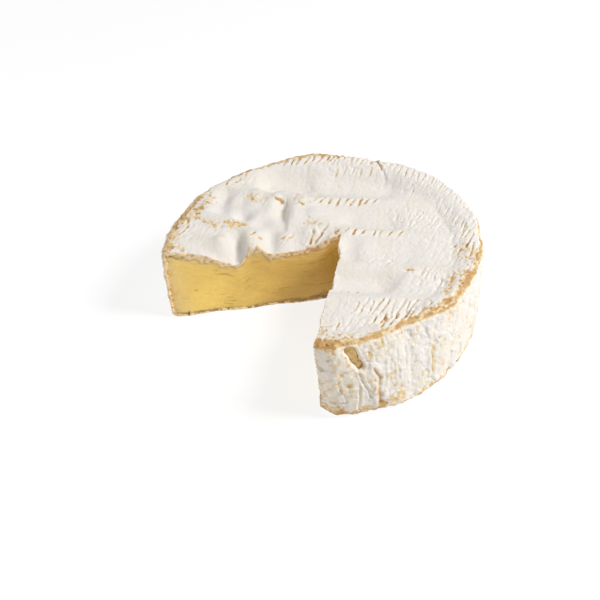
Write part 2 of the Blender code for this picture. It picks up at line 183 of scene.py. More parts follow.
def line_distance(x, y, x_start, y_start, x_end, y_end):
    """How far each point is from the line between two places."""
    run_x, run_y = x_end - x_start, y_end - y_start
    share = unit(((x - x_start) * run_x + (y - y_start) * run_y) / (run_x**2 + run_y**2))
    return np.hypot(x - x_start - share * run_x, y - y_start - share * run_y)


def wall_line_distance(around, height, angle_start, up_start, angle_end, up_end):
    """The same on the unrolled wall, where the ends of the line are given by angle and height."""
    return line_distance(around, height, angle_start * ROUND_MM, up_start, angle_end * ROUND_MM, up_end)


def outline_radius(angle, level):
    """The wall's distance from the middle. level is 0 at the base and 1 at the top."""
    radius = RADIUS + swelling(angle, OUTLINE_SWELLINGS)
    radius += (1 - level) * swelling(angle, BASE_SWELLINGS)
    radius += level * swelling(angle, TOP_SWELLINGS)
    radius = radius + WALL_BULGE * 4 * level * (1 - level) - BASE_DRAW_IN * (1 - level)
    turn = np.radians(angle)
    for waves, twist, depth in RIPPLES:
        radius += depth * np.sin(waves * turn + twist * level + RIPPLE_PHASE * waves)
    near = wall_line_distance(angle * ROUND_MM, level * HEIGHT, *GOUGE_START, *GOUGE_END)
    return radius - GOUGE_DEPTH * bell(near / GOUGE_WIDTH)


def ledge_drop(x, y, x_start, y_start, x_end, y_end, depth, steep, rise):
    """How far the top drops on the left of a ledge."""
    length = math.dist((x_start, y_start), (x_end, y_end))
    along_x, along_y = (x_end - x_start) / length, (y_end - y_start) / length
    off_x, off_y = x - x_start, y - y_start
    along = off_x * along_x + off_y * along_y
    left = np.maximum(off_y * along_x - off_x * along_y, 0.0)
    beyond = np.maximum(np.maximum(-along, along - length), 0.0)
    drop = depth * (1 - np.exp(-((left / steep) ** 1.5))) * np.exp(-left / rise)
    return drop * bell(beyond / LEDGE_FADE)


def plain_height(x, y):
    """The height of the top without the folds on the left."""
    out = np.hypot(x, y) / RADIUS
    height = HEIGHT - MIDDLE_SAG * (1 - out**2)
    height += EDGE_BAND_RISE * bell((out - EDGE_BAND_PLACE) / EDGE_BAND_WIDTH)
    fade = unit((BAR_END - out) / BAR_END_FADE)
    for offset in BAR_OFFSETS:
        across = y - offset - BAR_SLOPE * x
        height += fade * BAR_RISE * (bell(across / BAR_WIDTH) - BAR_LEVEL)
    for *ends, width, amount in TOP_DENTS:
        height += amount * np.exp(-((line_distance(x, y, *ends) / width) ** DENT_POWER))
    for ledge in LEDGES:
        height -= ledge_drop(x, y, *ledge)
    return height


def fold_strengths():
    """The places of the folds, and how strong a bump at each has to be for the top to pass its height."""
    places = np.array([place[:2] for place in FOLD_PLACES] + list(PLAIN_PLACES))
    plain = plain_height(places[:, 0], places[:, 1])
    heights = np.append([place[2] for place in FOLD_PLACES], plain[len(FOLD_PLACES) :])
    apart = np.hypot(places[:, 0][:, None] - places[:, 0], places[:, 1][:, None] - places[:, 1])
    shares = bell(apart / FOLD_REACH) + FOLD_GIVE * np.eye(len(places))
    return places, np.linalg.solve(shares, heights - plain)


FOLDS = fold_strengths()


def top_height(x, y):
    """The height of the top at each place."""
    height = plain_height(x, y)
    for (fold_x, fold_y), strength in zip(*FOLDS):
        apart_squared = (x - fold_x) ** 2 + (y - fold_y) ** 2
        height += strength * np.exp(-apart_squared / FOLD_REACH**2)
    return height


def cut_push(share, from_point, z):
    """How far the points at and behind the two cut faces move into the cheese."""
    kept_arc = KEPT_SPAN * from_point
    first_cut = bell(share * kept_arc / CUT_FADE)
    last_cut = bell((1 - share) * kept_arc / CUT_FADE)
    wave = CUT_WAVE * np.sin(CUT_WAVE_OUT * from_point + CUT_WAVE_UP * z)
    wave *= unit(from_point / CUT_WAVE_START)
    hollow = unit((from_point - HOLLOW_START) / HOLLOW_RISE)
    hollow *= unit((HOLLOW_END - from_point) / HOLLOW_STEP)
    return first_cut * (wave + HOLLOW_DEPTH * hollow) - last_cut * wave


def cut_angle(share, level):
    """The angle of each column, from the right cut (share 0) round to the left one (share 1)."""
    first = KEPT_FROM_BASE + level * (KEPT_FROM_TOP - KEPT_FROM_BASE)
    last = KEPT_TO_BASE + level * (KEPT_TO_TOP - KEPT_TO_BASE)
    return first + share * (last - first)


def form(share, reach, up):
    """Where a point of the plain round lies on the cheese, and its angle. reach is its distance from the
    wedge's point, stretched so that the wall is at RADIUS everywhere. up is its height under a flat top."""
    level = unit(up / HEIGHT)
    angle = cut_angle(share, level)
    apex_x = APEX_BASE[0] + level * (APEX_TOP[0] - APEX_BASE[0])
    apex_y = APEX_BASE[1] + level * (APEX_TOP[1] - APEX_BASE[1])
    wall = outline_radius(angle, level)
    out = reach / RADIUS
    x = apex_x + out * (wall * np.cos(np.radians(angle)) - apex_x)
    y = apex_y + out * (wall * np.sin(np.radians(angle)) - apex_y)
    push = cut_push(share, np.hypot(x - apex_x, y - apex_y), up)
    x -= push * np.sin(np.radians(angle))
    y += push * np.cos(np.radians(angle))
    z = up * top_height(x, y) / HEIGHT
    corner = bell((angle - CORNER_ANGLE) / CORNER_SPREAD) * unit((out - CORNER_START) / (1 - CORNER_START))
    z += CORNER_LIFT * corner * (1 - level) ** 1.5
    return np.stack([x, y, z], axis=-1), angle


# ---- noise, the same each run

LATTICE_FACTORS = np.array([73856093, 19349663, 83492791], dtype=np.uint64)
SEED_FACTOR = 2654435761
SCRAMBLES = ((15, 2246822519), (13, 3266489917))
LAST_SCRAMBLE = np.uint64(16)
WORD = np.uint64(0xFFFFFFFF)


def lattice(cell, seed):
    """A repeatable value from 0 to 1 for each point of a whole-number grid."""
    mixed = np.uint64(seed * SEED_FACTOR)
    for part, factor in zip(cell.T, LATTICE_FACTORS):
        mixed = mixed ^ part.astype(np.uint64) * factor
    mixed = mixed & WORD
    for shift, factor in SCRAMBLES:
        mixed = (mixed ^ (mixed >> np.uint64(shift))) * np.uint64(factor) & WORD
    return (mixed ^ (mixed >> LAST_SCRAMBLE)) / float(WORD)


def noise(points, size, seed, octaves=1):
    """Smooth noise from -1 to 1 at each point, with lumps about size millimetres across."""
    total, weight = 0.0, 0.0
    for octave in range(octaves):
        spots = np.asarray(points) / (size * 0.5**octave) + 100.0
        cell = np.floor(spots).astype(np.int64)
        part = spots - cell
        part = part * part * part * (part * (part * 6 - 15) + 10)
        value = 0.0
        for corner in itertools.product((0, 1), repeat=3):
            share = math.prod(along if far else 1 - along for far, along in zip(corner, part.T))
            value += share * lattice(cell + corner, seed + octave)
        total += (2 * value - 1) * 0.5**octave
        weight += 0.5**octave
    return total / weight


def fade(value, low, high):
    """0 below low, 1 above high, and smooth between."""
    share = unit((value - low) / (high - low))
    return share * share * (3 - 2 * share)


def sheet(across, along):
    """Places on a flat sheet, as noise takes them."""
    return np.stack([across, along, np.zeros_like(across)], axis=1)


# ---- marks of the top

STROKE_SLANT = math.radians(62.0)  # all strokes of the mat slope the same way
WOBBLE = 0.35  # how far the lines of the top stray from straight

# Rows of strokes: x and y of both ends of the row, how many, length, half-width, depth, how tan they are
# inside.
STROKE_ROWS = (
    (-11.5, 50, 8.5, 51, 9, 4.6, 0.42, 0.45, 0.95), (10.5, 50.5, 19.5, 48.5, 5, 3.6, 0.36, 0.42, 0.5),
    (0.5, 49, 20, 46, 9, 2.6, 0.3, 0.3, 0.3), (7, 44, 19, 42.4, 5, 2.4, 0.34, 0.4, 0.45),
    (26, 43.5, 40, 33.5, 8, 3.2, 0.34, 0.36, 0.5), (41.5, 31.5, 49.5, 17, 7, 3, 0.3, 0.3, 0.4),
    (47.8, 6.7, 48.7, -9.6, 8, 4.6, 0.36, 0.36, 0.5), (-1.4, 26.6, 19, 24.6, 9, 2.9, 0.46, 0.42, 0.9),
    (8.4, 8.4, 26, 4.6, 7, 2.7, 0.46, 0.42, 0.9), (1.6, -20.6, 9.2, -22.6, 4, 0.9, 0.4, 0.25, 1),
    (9.1, -32.1, 27, -34.7, 9, 6.4, 0.34, 0.5, 0.5), (14.1, -39.3, 27.9, -38.9, 7, 4.4, 0.42, 0.55, 0.8),
    (24.2, 19.3, 35.2, 6.6, 6, 1.3, 0.3, 0.26, 0.1), (31.1, -16.9, 38.1, -23.2, 5, 3.2, 0.34, 0.35, 0.25),
    (-31.8, 37, -26.9, 41.9, 3, 3.6, 0.4, 0.35, 0.8),
)

# How the strokes of a row differ: seed, shift, turn, and the ranges of length, strength and width.
STROKE_SEED = 5
STROKE_SHIFT, STROKE_TURN = 0.6, 0.16
STROKE_LENGTHS, STROKE_STRENGTHS, STROKE_WIDTHS = (0.55, 1.15), (0.7, 1.2), (0.75, 1.15)

# Strokes by themselves: x and y of both ends, half-width, depth, how tan.
STROKES = (
    (21, 49, 23, 43, 0.4, 0.5, 0.6), (23, 43, 24.5, 38, 0.4, 0.35, 0.1),
    (33.3, 14.2, 35.2, 16.7, 0.36, 0.4, 0.5), (20.2, -10.9, 22.3, -8.1, 0.34, 0.35, 0.1),
    (27.1, -15, 28.5, -15.3, 0.4, 0.35, 0.7), (-4.5, 6.2, -3, 9.3, 0.55, 0.9, 0.7),
    (-2.5, 6.2, -0.3, 8.8, 0.5, 0.85, 0.7), (-5.8, 7.1, -4.6, 9, 0.3, 0.35, 0.1),
    (0.7, 9.8, 1.9, 11.7, 0.4, 0.4, 0.6), (-15.5, 27.5, -13, 27.2, 0.34, 0.5, 1),
    (-13, 27.2, -13.6, 26.5, 0.34, 0.4, 0.9), (-14, 8.3, -13.2, 8.7, 0.5, 0.35, 0.8),
    (-11.4, 8.6, -10.4, 9.1, 0.5, 0.35, 0.8), (-14.1, 6.7, -13.1, 7.6, 0.26, 0.3, 0),
    (-12.5, 6.7, -11.6, 7.8, 0.26, 0.3, 0), (-48.9, 8.2, -47.4, 10.8, 0.34, 0.4, 0.8),
    (-46.9, 11.5, -45.9, 12.9, 0.34, 0.4, 0.8), (-24.6, 8, -23.1, 9.8, 0.4, 0.35, 0.7),
    (-21.9, 7.5, -21, 7.4, 0.4, 0.35, 0.7), (8.6, 45.4, 14.5, 44.4, 0.3, 0.3, 0),
    (41.2, 13.6, 44.3, 15.9, 0.26, 0.26, 0.1), (44.1, -8.2, 45.4, -6.5, 0.3, 0.35, 0.8),
    (43.4, -3.9, 44.1, -3.4, 0.34, 0.3, 0.9), (2.6, -41.3, 3.1, -39.2, 0.34, 0.35, 0.9),
    (-3.6, -41.5, 0.7, -40.9, 0.3, 0.3, 0.7), (16.1, -44.7, 17.9, -38.6, 0.4, 0.5, 0.8),
    (18.5, -44, 21.5, -37, 0.42, 0.55, 0.8), (22.7, -41.6, 25.3, -36.8, 0.42, 0.55, 0.9),
)

# Crusted, cracked lines along the crests: x and y of both ends, half-width, how tan.
CRUSTS = (
    (-47.8, 17, -43.8, 19, 1.5, 0.95), (-45.8, 23.1, -44.8, 25.6, 1, 0.9),
    (-44.8, 25.6, -41.8, 28.9, 1, 0.9), (-41.8, 28.9, -39.4, 29.4, 1.3, 0.9),
    (-39.4, 29.4, -41.2, 23.7, 1, 0.85), (-41.2, 23.7, -43.8, 19.9, 0.9, 0.85),
    (-42.5, 17.6, -41.7, 17.3, 0.5, 0.8), (-51.5, 12.8, -52.2, 6.8, 0.7, 0.8),
    (-52.2, 6.8, -51.3, 3.5, 0.7, 0.75), (-50.6, 2.5, -48.1, 1.9, 0.8, 0.8),
    (-40.4, 15.5, -38.2, 15, 0.7, 0.75), (-38.2, 15, -37, 13.6, 0.6, 0.6),
    (-36.2, 14.3, -33.4, 14.9, 0.6, 0.65), (-33.4, 14.9, -30.6, 14.6, 0.9, 0.9),
    (-29.4, 14.7, -26.1, 13.8, 0.6, 0.85), (-34.7, 13.2, -31.1, 13.2, 0.5, 0.55),
    (-25.2, 30.1, -24.6, 29.7, 0.5, 0.8), (-23.6, 28, -23, 27.7, 0.6, 0.8),
    (-21.2, 28.5, -18.8, 28.3, 0.5, 0.6), (-9, 24.9, -6.4, 26, 1.3, 0.45),
    (-7.4, 23.9, -6.2, 23.2, 0.5, 0.9), (-8.2, 28.8, -7.6, 28.7, 0.5, 0.7),
    (-3.4, 14, -2.4, 13.7, 0.9, 0.7), (-25.2, 3.2, -23.4, 1.5, 0.6, 0.8),
    (-22.5, 3, -21.7, 1.7, 0.5, 0.7), (4.5, 8.5, 5.8, 7.4, 0.7, 0.9), (47.6, -16.1, 50.2, -9.9, 0.8, 0.7),
    (40.5, -32, 42.7, -25.6, 0.6, 0.8), (42.7, -25.6, 46.1, -19.3, 0.6, 0.8),
    (43.2, -7.6, 46.9, -4.8, 0.5, 0.6), (46, -7.2, 51, -13.9, 1.6, 0.7),
    (36.7, -35.1, 38.1, -27.5, 0.8, 0.85), (38.1, -27.5, 40.3, -22.9, 0.8, 0.85),
    (40.3, -22.9, 43.3, -18.6, 0.7, 0.8), (29.8, -40, 37, -37.4, 1.9, 0.95),
    (-1.5, -50.6, 4.9, -51.6, 2.6, 0.9), (-4.6, -49.4, -2.6, -43.7, 0.9, 0.8),
)

# How wide the bare tan ridge along the rim is: angle, spread, half-width.
RIM_WEAR = (
    (-92, 8, 3.6), (-74, 8, 2), (-58, 9, 2.2), (-43, 8, 3), (-28, 8, 2.2), (-14, 6, 2), (0, 10, 0.8),
    (30, 22, 0.5), (94, 22, 3), (128, 14, 1.6), (158, 14, 2.2), (176, 8, 2.6),
)
DARK_RIM = ((-92.0, 7.0, 1.0), (-30.0, 8.0, 0.4))  # where the ridge is browner

# Where the top is rough: x, y and radius of each zone.
ROUGH_ZONES = (
    (-45, 12, 11), (-44, 26, 6), (-32, 14, 6), (-28, 38, 9), (-20, 29, 6), (-8, 26, 7), (-3, 5, 7),
    (-24, 3, 5), (6, 48, 13), (22, 46, 9), (38, 33, 10), (42, 8, 15), (44, -10, 10), (34, -22, 10),
    (26, -38, 11), (8, -41, 12), (18, -8, 8), (30, 14, 8),
)

# Where fine tan crumbs cover the top: x, y and radius of each zone.
CRUMBLY_ZONES = (
    (-50, 8, 5), (-48.5, 17, 6), (-44, 27, 6), (-37, 14.5, 4), (-31, 14, 3), (-23, 29.2, 2.6),
    (-7.5, 27, 2.4),
)


def stroke_list():
    """Every stroke of the top: those of the rows, each a little off its place, and those by themselves."""
    draws = np.random.default_rng(STROKE_SEED)
    found = list(STROKES)
    for x_start, y_start, x_end, y_end, count, length, width, depth, tan in STROKE_ROWS:
        for share in np.arange(count) / (count - 1):
            x = x_start + share * (x_end - x_start) + draws.uniform(-STROKE_SHIFT, STROKE_SHIFT)
            y = y_start + share * (y_end - y_start) + draws.uniform(-STROKE_SHIFT, STROKE_SHIFT)
            half = 0.5 * length * draws.uniform(*STROKE_LENGTHS)
            slant = STROKE_SLANT + draws.uniform(-STROKE_TURN, STROKE_TURN)
            run_x, run_y = half * math.cos(slant), half * math.sin(slant)
            strong = draws.uniform(*STROKE_STRENGTHS)
            wide = width * draws.uniform(*STROKE_WIDTHS)
            found.append((x - run_x, y - run_y, x + run_x, y + run_y, wide, depth * strong, tan * strong))
    return found


def zone_strength(x, y, zones):
    """How far inside the nearest round zone each point is, from 0 to 1."""
    strength = np.zeros_like(x)
    for middle_x, middle_y, radius in zones:
        strength = np.maximum(strength, bell(np.hypot(x - middle_x, y - middle_y) / radius))
    return strength


def top_marks(points, angle, reach):
    """The relief of the top, in millimetres along its normal, and how worn (tan) it is."""
    x, y = points[:, 0], points[:, 1]
    flat = sheet(x, y)
    near_x = x + WOBBLE * noise(flat, 2.2, 11, 2)
    near_y = y + WOBBLE * noise(flat, 2.2, 17, 2)
    rough = zone_strength(x, y, ROUGH_ZONES)
    across = x * math.sin(STROKE_SLANT) - y * math.cos(STROKE_SLANT)
    along = x * math.cos(STROKE_SLANT) + y * math.sin(STROKE_SLANT)

    # the ground, and the hatching of its rough zones
    relief = 0.1 * noise(flat, 5.0, 3, 2)
    relief += (0.05 + 0.14 * rough) * noise(flat, 1.3, 5, 2)
    hatch = noise(sheet(across / 0.8, along / 5.0), 1.0, 23, 2)
    relief -= 0.24 * rough * fade(hatch, 0.1, 0.6)
    pits = noise(flat, 1.0, 29)
    relief -= (0.04 + 0.16 * rough) * fade(pits, 0.35, 0.7)
    worn = 0.25 * rough * fade(hatch, 0.35, 0.8)
    crumbly = zone_strength(x, y, CRUMBLY_ZONES)
    crumb = noise(sheet(across / 0.6, along / 1.1), 1.0, 211, 3)
    worn = np.maximum(worn, crumbly * 0.75 * fade(crumb, 0.12, 0.34))
    relief += 0.3 * crumbly * crumb

    # strokes, steep with a raised lip on one side and gentle on the other
    broken = 1.0 + 0.5 * noise(flat, 0.8, 37)
    for x_start, y_start, x_end, y_end, width, depth, tan in stroke_list():
        near = line_distance(near_x, near_y, x_start, y_start, x_end, y_end) / width
        turned = (near_x - x_start) * (y_end - y_start) - (near_y - y_start) * (x_end - x_start)
        steep_side = (turned > 0) == (y_end > y_start)
        groove = bell(near / np.where(steep_side, 0.8, 1.9))
        lip = bell((near - 2.0) / 1.1) * steep_side
        relief += depth * (0.4 * lip - broken * groove)
        bottom = bell(near / np.where(steep_side, 1.5, 1.1))
        worn = np.maximum(worn, (0.15 + tan) * broken * bottom)

    # crusts along the crests
    breakup = noise(flat, 1.5, 31, 3)
    flecks = noise(sheet(across / 0.7, along / 1.3), 1.0, 163, 2)
    crumbs = 0.7 * flecks + 0.6 * noise(flat, 0.6, 197, 2)
    crust = np.zeros_like(x)
    for *ends, width, tan in CRUSTS:
        near = line_distance(near_x, near_y, *ends) / width
        crust = np.maximum(crust, tan * fade(0.95 - 0.36 * near + crumbs, 0.2, 0.6))
    crust *= 0.75 + 0.5 * noise(flat, 0.9, 199)
    relief = relief - 0.3 * crust + 0.4 * np.minimum(crust, 0.5) * noise(flat, 0.7, 37)
    worn = np.maximum(worn, crust)

    # the bare ridge along the rim
    rim = swelling(angle, RIM_WEAR)
    rim_place = (RADIUS - 0.2 - reach) / np.maximum(rim, 0.05)
    bare = fade(1.2 - rim_place + 0.5 * breakup + 0.3 * flecks, 0.0, 0.35) * fade(rim, 0.15, 0.5)
    dark = swelling(angle, DARK_RIM)
    streaks = noise(sheet(angle * ROUND_MM / 3.0, reach), 0.9, 41, 3)
    lumps = streaks + (noise(flat, 1.4, 223, 2) - streaks) * unit(dark)
    outer = fade(reach, RADIUS - 3.5, RADIUS - 1.0)
    relief = relief - 0.3 * bare + 0.3 * bare * lumps + 0.35 * outer * noise(flat, 1.2, 193, 2)
    worn = np.maximum(worn, bare * (0.8 - 0.5 * lumps + 0.3 * dark))
    return relief, unit(worn)


# ---- marks of the wall

# Creases and streaks: angle and height of both ends, half-width, depth, how tan. In the creases the tan is
# painted shade.
WALL_LINES = (
    (-80.6, 18, -76.2, 7, 0.4, 0.7, 0.25), (-80.4, 13, -80.7, 2.5, 0.4, 0.6, 0.1),
    (-87.6, 17, -87, 12.5, 0.35, 0.4, 0), (-87, 12.5, -85, 7.6, 0.35, 0.5, 0.1),
    (-94, 7, -85.4, 7.2, 0.35, 0.45, 0.35), (-75.6, 19, -73.2, 14.5, 0.5, 0.35, 0.8),
    (-73.2, 14.5, -74, 10, 0.5, 0.35, 0.75), (-74, 10, -73, 4.5, 0.6, 0.35, 0.8),
    (-52, 18, -51.6, 8, 0.55, 0.3, 0.75), (-69.5, 22, -69.2, 9, 0.5, 0.18, 0),
    (-66.8, 24, -66, 12, 0.5, 0.16, 0.1), (-61, 20, -60.4, 6, 0.6, 0.16, 0),
    (-93.5, 14, -90.5, 18.5, 0.35, 0.3, 0.6), (-93, 10, -91.6, 11.6, 0.3, 0.3, 0.5),
)

# Worn patches: angle and height of the middle, half-width in degrees, half-height, how tan.
WALL_PATCHES = (
    (-89, 23, 1.3, 2.8, 0.55), (-73.2, 28.4, 1.6, 2.6, 0.6), (-76.8, 24, 1, 1.6, 0.75),
    (-79, 26.2, 1.6, 1, 0.4), (-49, 21, 0.8, 0.8, 0.9), (-70, 24.5, 1, 1.8, 0.5),
    (-58, 27.8, 1, 2.4, 0.45), (-43, 27, 5, 2.4, 0.4), (-36, 24, 2.4, 5, 0.4), (-72.4, 3.4, 2, 2.4, 0.8),
    (-65, 4.8, 3, 1.4, 0.7), (-86, 1.6, 6, 1.8, 0.75), (-50, 12, 1.6, 2.4, 0.5),
    (-41, 14, 2.2, 1.6, 0.55), (-93, 4.8, 1.6, 1.2, 0.7),
)

# Flakes that stand off the wall: angle and height of the middle, half-width, half-height, how far out.
FLAKES = (
    (-9, 29, 0.9, 0.6, 0.5), (-88, 0.9, 0.9, 0.7, 0.4), (-93.6, 21, 0.7, 0.8, 0.8),
    (-27, 12, 0.8, 1.2, 0.7),
)


def oval_distance(around, height, angle, up, half_width, half_height):
    """How far each point of the unrolled wall is from an oval's middle. It is 1 at the oval's edge."""
    return np.hypot((around - angle * ROUND_MM) / half_width, (height - up) / half_height)


def wall_marks(points, angle, up):
    """The relief of the wall, in millimetres outwards, how worn it is, and how bare the gouge is."""
    around = angle * ROUND_MM
    height = points[:, 2]
    flat = sheet(around, height)
    near_around = around + 0.5 * noise(flat, 2.6, 43, 2)
    near_height = height + 0.5 * noise(flat, 2.6, 47, 2)

    tall = sheet(around, height * 0.55)
    relief = 0.15 * noise(tall, 4.0, 53, 2) + 0.14 * noise(flat, 1.5, 59, 2)
    flakes = noise(flat, 6.0, 61, 3)
    relief += 0.35 * fade(flakes, -0.05, 0.05)
    pits = noise(tall, 1.1, 67)
    relief -= 0.22 * fade(pits, 0.35, 0.7)

    # wear in patches, more of it near the base, the top and the front cut
    mottle = noise(tall, 2.6, 71, 3)
    low = bell(height / 3.6)
    high = bell((HEIGHT - height) / 5.0)
    corner = fade(-angle, 72.0, 84.0)
    spread = mottle + low + 0.15 * high + 0.12 * corner - 0.02
    worn = fade(spread, 0.27, 0.4) * (0.42 + 0.35 * low + 0.15 * corner + 0.4 * noise(flat, 1.2, 151, 2))
    worn = np.maximum(worn, 0.2 + 0.14 * corner + 0.1 * noise(flat, 5.0, 233, 2))
    scratch = noise(sheet(around / 0.5, height / 3.2), 1.0, 73, 2)
    worn = np.maximum(worn, 0.4 * fade(scratch + 0.4 * mottle, 0.5, 0.7))
    specks = noise(flat, 0.7, 157)
    worn = np.maximum(worn, 0.5 * fade(specks + 0.5 * mottle, 0.5, 0.7))
    relief = relief - 0.2 * worn + (0.3 * high + 0.4 * low) * noise(flat, 1.2, 191, 2)

    # single marks
    # On the streaks the tan is wear; in the creases it is painted shade.
    for *ends, width, depth, tan in WALL_LINES:
        near = wall_line_distance(near_around, near_height, *ends) / width
        relief = relief - depth * bell(near) + 0.3 * depth * bell(near - 2.2)
        worn = np.maximum(worn, tan * bell(near / 1.3))
    breakup = noise(flat, 1.4, 79, 3)
    for *middle, half_width, half_height, tan in WALL_PATCHES:
        near = oval_distance(near_around, near_height, *middle, half_width * ROUND_MM, half_height)
        patch = tan * fade(1.25 - near + 0.7 * breakup, 0.2, 0.6)
        relief -= 0.22 * patch
        worn = np.maximum(worn, patch)
    from_gouge = wall_line_distance(near_around, near_height, *BARE_START, *BARE_END)
    half_width = 1.5 + 0.5 * fade(height, BARE_END[1] - 1.0, BARE_START[1])
    gouged = fade(half_width - from_gouge, 0.0, 0.9)
    lip_place = (from_gouge - half_width - 0.3) / 0.4
    relief = relief - gouged * (0.9 + 0.7 * noise(flat, 1.2, 179, 2)) + 0.25 * bell(lip_place)
    for *oval, proud in FLAKES:
        flake = np.exp(-(oval_distance(near_around, near_height, *oval) ** 4))
        relief += proud * flake
        worn = np.maximum(worn, 0.6 * flake)

    # the bare ridge of the rim, where it reaches over onto the wall
    rim = swelling(angle, RIM_WEAR)
    lip = fade(0.55 * rim - (HEIGHT - up) + 0.8 * breakup, -0.3, 0.4) * fade(rim, 0.3, 0.8)
    worn = np.maximum(worn, 0.9 * lip)
    return relief, unit(worn) * (1 - gouged), gouged


RIB_SPACING = 9.0
BASE_LIFT = 0.18  # how far the base's relief lies above the table on average


def base_marks(points):
    """The relief of the base, in millimetres downwards and never below the table, and how worn it is."""
    x, y = points[:, 0], points[:, 1]
    flat = sheet(x, y)
    rib = np.sin((y - BAR_SLOPE * x) * 2 * math.pi / RIB_SPACING)
    relief = -BASE_LIFT + 0.1 * rib + 0.1 * noise(flat, 1.6, 83, 2)
    worn = fade(noise(flat, 4.0, 89, 3) - 0.25 * rib, 0.05, 0.5) * 0.7
    return np.minimum(relief, 0.0), worn


APEX_FADE = 3.0  # over this distance from the wedge's point the relief grows to its full depth


def skin(share, reach, up, normal_out, normal_up):
    """The finished outside of the cheese: its points, how worn they are, their angles, and how bare the
    gouge is. The normal is that of the plain section."""
    points, angle = form(share, reach, up)
    top_relief, top_worn = top_marks(points, angle, reach)
    wall_relief, wall_worn, gouged = wall_marks(points, angle, up)
    base_relief, base_worn = base_marks(points)
    on_top = fade(normal_up, 0.1, 0.8)
    on_base = fade(-normal_up, 0.3, 0.9)
    on_wall = 1 - on_top - on_base
    relief = on_top * top_relief + on_wall * wall_relief + on_base * base_relief
    worn = on_top * top_worn + on_wall * wall_worn + on_base * base_worn
    turn = np.radians(angle)
    from_apex = unit(reach / APEX_FADE)
    points[:, 0] += relief * normal_out * np.cos(turn)
    points[:, 1] += relief * normal_out * np.sin(turn)
    points[:, 2] += relief * normal_up * (0.4 + 0.6 * from_apex)
    points[:, 2] = np.maximum(points[:, 2], 0.0)
    return points, worn, angle, gouged * on_wall


# ---- meshes


def ring_triangles(inner, outer):
    """Triangles between two rings of point numbers. One may be a single point, or have twice the steps."""
    if len(inner) > len(outer):
        return ring_triangles(outer, inner)[:, ::-1]
    if len(inner) == 1:
        parts = [(np.repeat(inner, len(outer) - 1), outer[:-1], outer[1:])]
    elif len(inner) == len(outer):
        parts = [(inner[:-1], outer[:-1], outer[1:]), (inner[:-1], outer[1:], inner[1:])]
    else:
        left, middle, right = outer[:-2:2], outer[1::2], outer[2::2]
        parts = [(inner[:-1], left, middle), (inner[:-1], middle, inner[1:]), (inner[1:], middle, right)]
    return np.concatenate([np.stack(part, axis=1) for part in parts])


# The three values that each point carries. On the rind they are how worn it is (in the wall's creases also
# painted shade), its stains with the gouge, and 1 on the cut edge. In the paste they are how deep its painted
# shade of gold is, how creamy and how brown it is.
VALUE_NAMES = ("first", "second", "third")
HIDDEN = (math.nan, math.nan)  # the map place of points that lie inside the cheese
LOWERED_SHARE = 0.08  # how far a closing border moves towards the deep point


class Shell:
    """A closed piece in the making: its points, their values and map places, and its triangles."""

    def __init__(self):
        self.parts = []
        self.triangles = []
        self.count = 0

    def add(self, points, values, places=HIDDEN):
        """Adds points with a row of values and a map place for each, and returns their numbers."""
        many = len(points)
        self.parts.append((points, np.broadcast_to(values, (many, 3)), np.broadcast_to(places, (many, 2))))
        self.count += many
        return np.arange(self.count - many, self.count)

    def join(self, rings):
        """Fills the gaps between neighbouring rings of point numbers."""
        for inner, outer in zip(rings[:-1], rings[1:]):
            self.triangles.append(ring_triangles(inner, outer))

    def close(self, loop, deep, drop):
        """Closes the piece: its border goes down by drop, and from there to a point deep in the cheese."""
        loop_points = self.arrays()[0][loop]
        lowered = loop_points + LOWERED_SHARE * (np.array(deep) - loop_points) - [0.0, 0.0, drop]
        lower = self.add(lowered, (0.0, 0.0, 0.0))
        centre = self.add(np.array([deep]), (0.0, 0.0, 0.0))
        self.join([np.append(loop, loop[0]), np.append(lower, lower[0]), centre])

    def arrays(self):
        """All points, values, map places and triangles."""
        return [np.concatenate(part) for part in (*zip(*self.parts), self.triangles)]


# ---- the rind

POINT_STEP = 0.32  # the distance between neighbouring points of the rind
BASE_STEP = 0.55  # the distance between rows of the base's flat part
COLUMNS = 800  # steps round the wall. They halve towards the wedge's point, where they run together
FEWEST_STEPS = COLUMNS // 8

# The rounded edges of the section: reach and up of the middle, and the radius.
TOP_EDGE = (RADIUS - TOP_EDGE_RADIUS, HEIGHT - TOP_EDGE_RADIUS, TOP_EDGE_RADIUS)
BASE_EDGE = (RADIUS - BASE_EDGE_RADIUS, BASE_EDGE_RADIUS, BASE_EDGE_RADIUS)
SEAM_UP = math.radians(30.0)  # where the top's rind meets the wall's, on the rounded top edge
SEAM_DOWN = math.radians(-45.0)  # where the wall's meets the base's, on the rounded base edge
TUCK = 1.5  # how far a border turns in behind its neighbour

# The cut edge of a rind: for each line of points its share of the thickness, how far it stands out of the
# cut face and how tan it is.
EDGE_LINES = (
    (0.06, 0.1, 0.1), (0.18, 0.26, 0.5), (0.34, 0.32, 0.35), (0.52, 0.3, 0.2), (0.7, 0.24, 0.35),
    (0.86, 0.14, 0.7), (1, -0.02, 0.8),
)
EDGE_BUMPS = 0.3
TOP_EXTRA = 0.9  # how much thicker the rind is under the level top
RAG_DEPTH = 0.4
RAG_FADE = 0.9
RAG_RISE = 0.35
EDGES_APART, RAGS_APART = 30.0, 40.0  # how far the two cuts lie apart in the noise, so that they differ
GOUGE_VALUE = 3.0  # the value "second" in the middle of the gouge. Stains reach 1


def steps_at(reach):
    """How many steps a row has at this distance from the wedge's point."""
    steps = COLUMNS
    while steps > FEWEST_STEPS and reach < RADIUS * 0.5 * steps / COLUMNS:
        steps //= 2
    return steps


def edge_row(edge, turn):
    """One row on a rounded edge: its reach and up, and the two parts of its normal."""
    middle_reach, middle_up, radius = edge
    out, upward = math.cos(turn), math.sin(turn)
    return (middle_reach + radius * out, middle_up + radius * upward, out, upward)


def edge_rows(edge, start, end):
    """Rows along a rounded edge."""
    count = max(2, round(abs(end - start) * edge[2] / POINT_STEP))
    return [edge_row(edge, turn) for turn in np.linspace(start, end, count + 1)[1:]]


